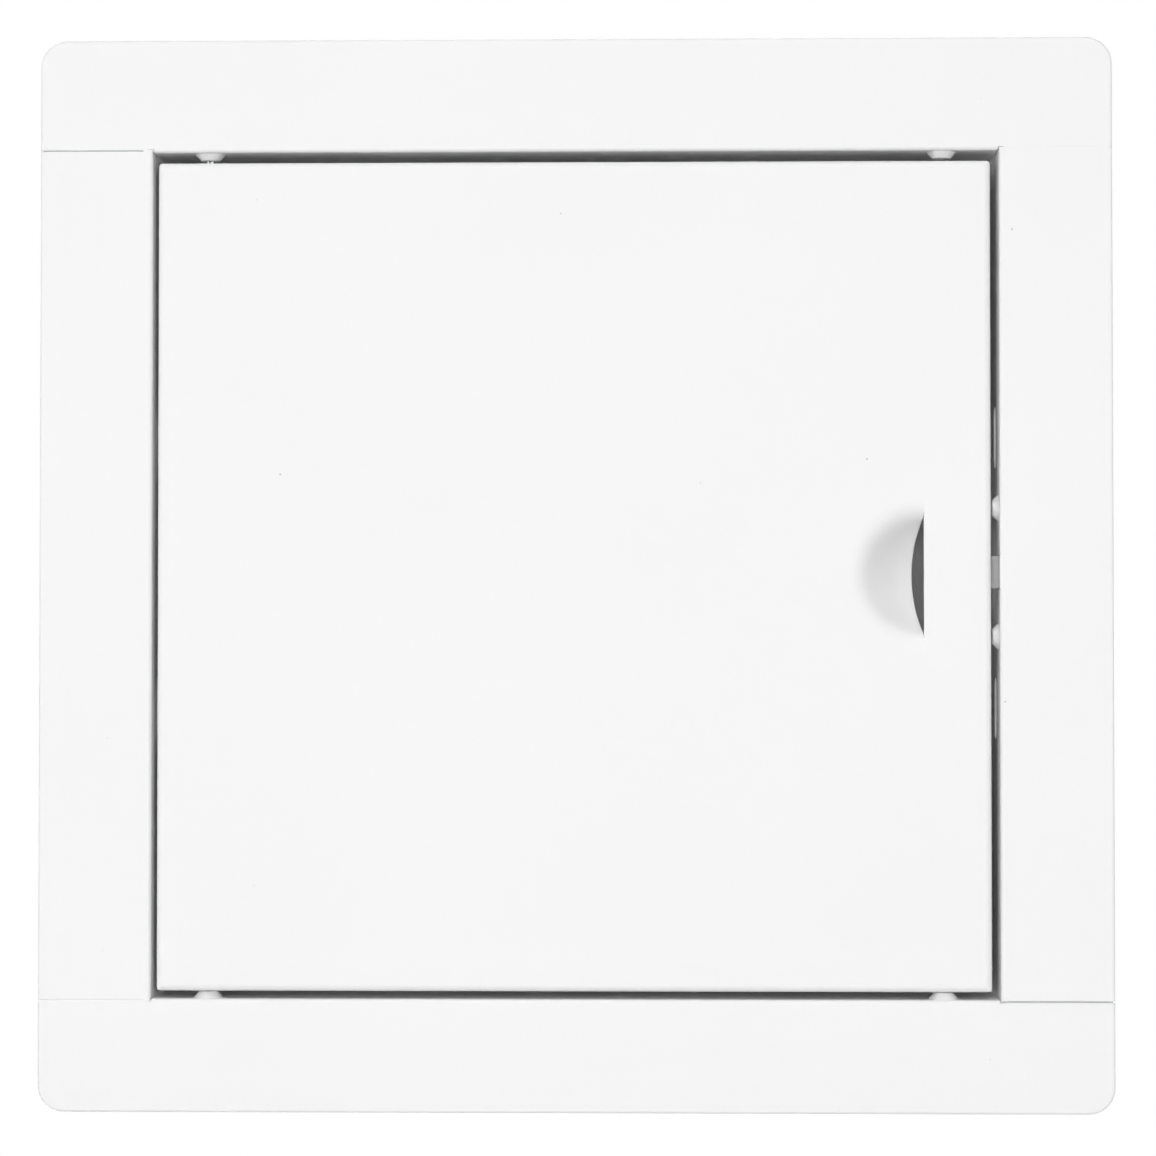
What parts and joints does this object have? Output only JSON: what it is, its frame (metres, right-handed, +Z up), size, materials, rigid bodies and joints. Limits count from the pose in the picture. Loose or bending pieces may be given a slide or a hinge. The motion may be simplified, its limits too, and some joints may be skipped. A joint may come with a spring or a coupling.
{
  "type": "access panel",
  "caption": "Square flush access panel: white folded sheet frame with riveted corners, a hinged tray door with a pressed finger pull, and a sprung side catch.",
  "frame": {"origin": "centre of the opening, in the plane of the flange's back face", "axes": "+Y into the wall, so the front faces -Y; +X to the right, towards the catch; +Z up, along the hinge axis"},
  "size_m": [0.25, 0.025, 0.25],
  "materials": {
    "powder_coat": "fine satin white powder coat on steel sheet",
    "mandrel_steel": "dull zinc-plated steel",
    "pin_steel": "bright zinc-plated steel",
    "spring_steel": "rolled spring steel strip",
    "nose_plastic": "moulded light grey plastic"
  },
  "bodies": {
    "frame": {"top_rail": "powder_coat", "bottom_rail": "powder_coat", "left_stile": "powder_coat", "right_stile": "powder_coat", "corner_rivet_upper": "powder_coat", "corner_rivet_lower": "powder_coat", "corner_mandrel_upper": "mandrel_steel", "corner_mandrel_lower": "mandrel_steel", "hinge_eyelet_upper": "powder_coat", "hinge_eyelet_lower": "powder_coat", "hinge_pin_upper": "pin_steel", "hinge_pin_lower": "pin_steel", "catch_leaf": "spring_steel", "catch_rivet_upper": "powder_coat", "catch_rivet_lower": "powder_coat", "catch_mandrel_upper": "mandrel_steel", "catch_mandrel_lower": "mandrel_steel"},
    "door": {"door_panel": "powder_coat"},
    "catch": {"catch_nose": "nose_plastic"}
  },
  "joints": [
    {"name": "door_swing", "type": "hinge", "parent": "frame", "child": "door", "pos_m": [-0.0857, 0.0041, 0], "axis": [0, 0, -1], "range_deg": [0, 135]},
    {"name": "catch_press", "type": "slide", "parent": "frame", "child": "catch", "axis": [1, 0, 0], "range_m": [0, 0.0016], "stiffness_N_per_m": 9800, "springref_m": -0.0003, "deforming": ["catch_leaf"]}
  ]
}
